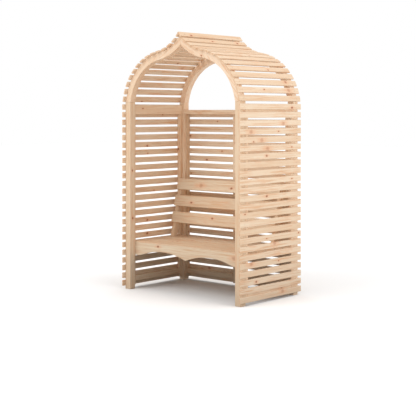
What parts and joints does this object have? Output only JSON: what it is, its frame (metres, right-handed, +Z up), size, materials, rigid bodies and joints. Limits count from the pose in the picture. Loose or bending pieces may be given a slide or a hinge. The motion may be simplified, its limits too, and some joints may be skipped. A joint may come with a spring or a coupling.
{
  "type": "arbour seat",
  "caption": "Timber garden arbour: slatted side and back walls, a slatted roof over pointed ogee arches, a bench with a scalloped apron and a raked back rest.",
  "frame": {"origin": "on the ground, under the middle of the whole in width and depth", "axes": "+Z up, +X to the right seen from the front, +Y towards the back wall"},
  "size_m": [1.2606, 0.762, 2.0864],
  "materials": {
    "frame_timber": "planed pine, uncoated, pale",
    "wall_slats": "planed pine slats, uncoated",
    "roof_slats": "planed pine slats, uncoated",
    "bench_boards": "planed pine boards, uncoated",
    "fixings": "bright zinc, countersunk screws"
  },
  "bodies": {
    "root": {"apron": "bench_boards", "arch_lower_front_left": "frame_timber", "arch_lower_front_right": "frame_timber", "arch_lower_rear_left": "frame_timber", "arch_lower_rear_right": "frame_timber", "arch_upper_front_left": "frame_timber", "arch_upper_front_right": "frame_timber", "arch_upper_rear_left": "frame_timber", "arch_upper_rear_right": "frame_timber", "back_board_1": "bench_boards", "back_board_2": "bench_boards", "back_board_3": "bench_boards", "back_support_left": "frame_timber", "back_support_right": "frame_timber", "back_top_rail": "frame_timber", "back_wall": "wall_slats", "post_front_left": "frame_timber", "post_front_right": "frame_timber", "post_rear_left": "frame_timber", "post_rear_right": "frame_timber", "roof_slat_left_01": "roof_slats", "roof_slat_left_02": "roof_slats", "roof_slat_left_03": "roof_slats", "roof_slat_left_04": "roof_slats", "roof_slat_left_05": "roof_slats", "roof_slat_left_06": "roof_slats", "roof_slat_left_07": "roof_slats", "roof_slat_left_08": "roof_slats", "roof_slat_left_09": "roof_slats", "roof_slat_left_10": "roof_slats", "roof_slat_left_11": "roof_slats", "roof_slat_left_12": "roof_slats", "roof_slat_left_13": "roof_slats", "roof_slat_left_14": "roof_slats", "roof_slat_right_01": "roof_slats", "roof_slat_right_02": "roof_slats", "roof_slat_right_03": "roof_slats", "roof_slat_right_04": "roof_slats", "roof_slat_right_05": "roof_slats", "roof_slat_right_06": "roof_slats", "roof_slat_right_07": "roof_slats", "roof_slat_right_08": "roof_slats", "roof_slat_right_09": "roof_slats", "roof_slat_right_10": "roof_slats", "roof_slat_right_11": "roof_slats", "roof_slat_right_12": "roof_slats", "roof_slat_right_13": "roof_slats", "roof_slat_right_14": "roof_slats", "seat_bearer_centre": "frame_timber", "seat_bearer_left": "frame_timber", "seat_bearer_right": "frame_timber", "seat_board_1": "bench_boards", "seat_board_2": "bench_boards", "seat_board_3": "bench_boards", "seat_board_4": "bench_boards", "seat_board_5": "bench_boards", "side_wall_left": "wall_slats", "side_wall_right": "wall_slats"}
  },
  "joints": []
}
